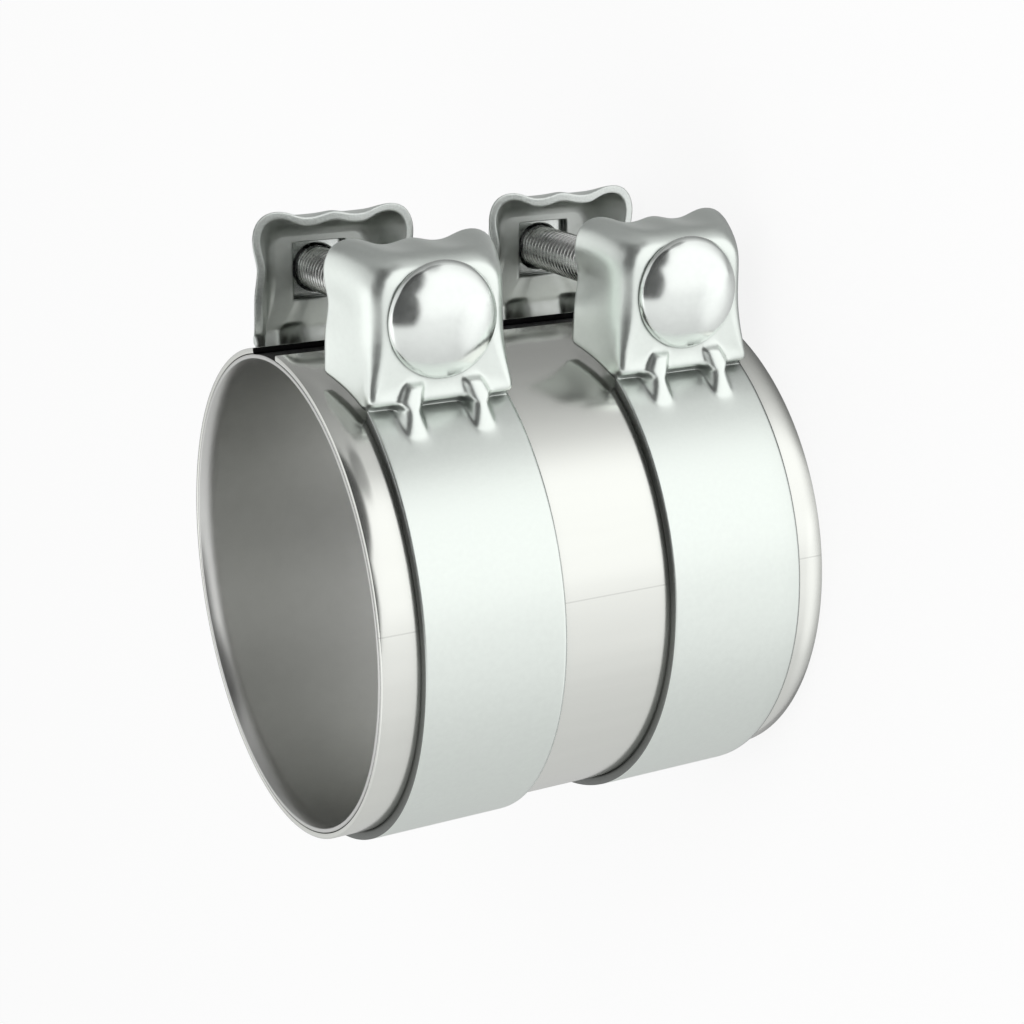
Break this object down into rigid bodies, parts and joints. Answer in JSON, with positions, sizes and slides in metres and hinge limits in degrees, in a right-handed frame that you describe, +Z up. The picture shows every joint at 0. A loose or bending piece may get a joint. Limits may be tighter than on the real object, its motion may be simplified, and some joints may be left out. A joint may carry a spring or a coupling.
{
  "type": "double band exhaust pipe connector",
  "caption": "Split steel sleeve over a closed liner, clamped round an exhaust joint by band clamps with bolts and flange nuts.",
  "frame": {"origin": "centre of the bore at the lower end", "axes": "+Z up along the bore towards the upper end, +X towards the clamp ears, +Y along the bolts towards the nuts"},
  "size_m": [0.134, 0.1102, 0.104],
  "materials": {
    "liner": "smooth rolled stainless sheet, darker inside",
    "sleeve": "bright rolled stainless sheet",
    "band": "satin zinc plating on pressed steel strip",
    "fastener": "bright zinc plating"
  },
  "bodies": {
    "sleeve": {"inner_liner": "liner", "outer_sleeve": "sleeve", "band_front": "band", "band_rear": "band"},
    "bolt_front": {"bolt_front": "fastener"},
    "bolt_rear": {"bolt_rear": "fastener"},
    "nut_front": {"nut_front": "fastener"},
    "nut_rear": {"nut_rear": "fastener"}
  },
  "joints": [
    {"name": "nut_front_spin", "type": "hinge", "parent": "sleeve", "child": "nut_front", "pos_m": [0.06362, 0.032, 0.08], "axis": [0, 1, 0], "range_deg": [0, 720]},
    {"name": "bolt_front_slide", "type": "slide", "parent": "sleeve", "child": "bolt_front", "axis": [0, -1, 0], "range_m": [0, 0.003]},
    {"name": "nut_rear_spin", "type": "hinge", "parent": "sleeve", "child": "nut_rear", "pos_m": [0.06362, 0.032, 0.023], "axis": [0, 1, 0], "range_deg": [0, 720]},
    {"name": "bolt_rear_slide", "type": "slide", "parent": "sleeve", "child": "bolt_rear", "axis": [0, -1, 0], "range_m": [0, 0.003]}
  ],
  "couplings": [
    {"joint": "nut_front_spin", "follows": "bolt_front_slide", "rad_per_m": 4188.8},
    {"joint": "nut_rear_spin", "follows": "bolt_rear_slide", "rad_per_m": 4188.8}
  ]
}
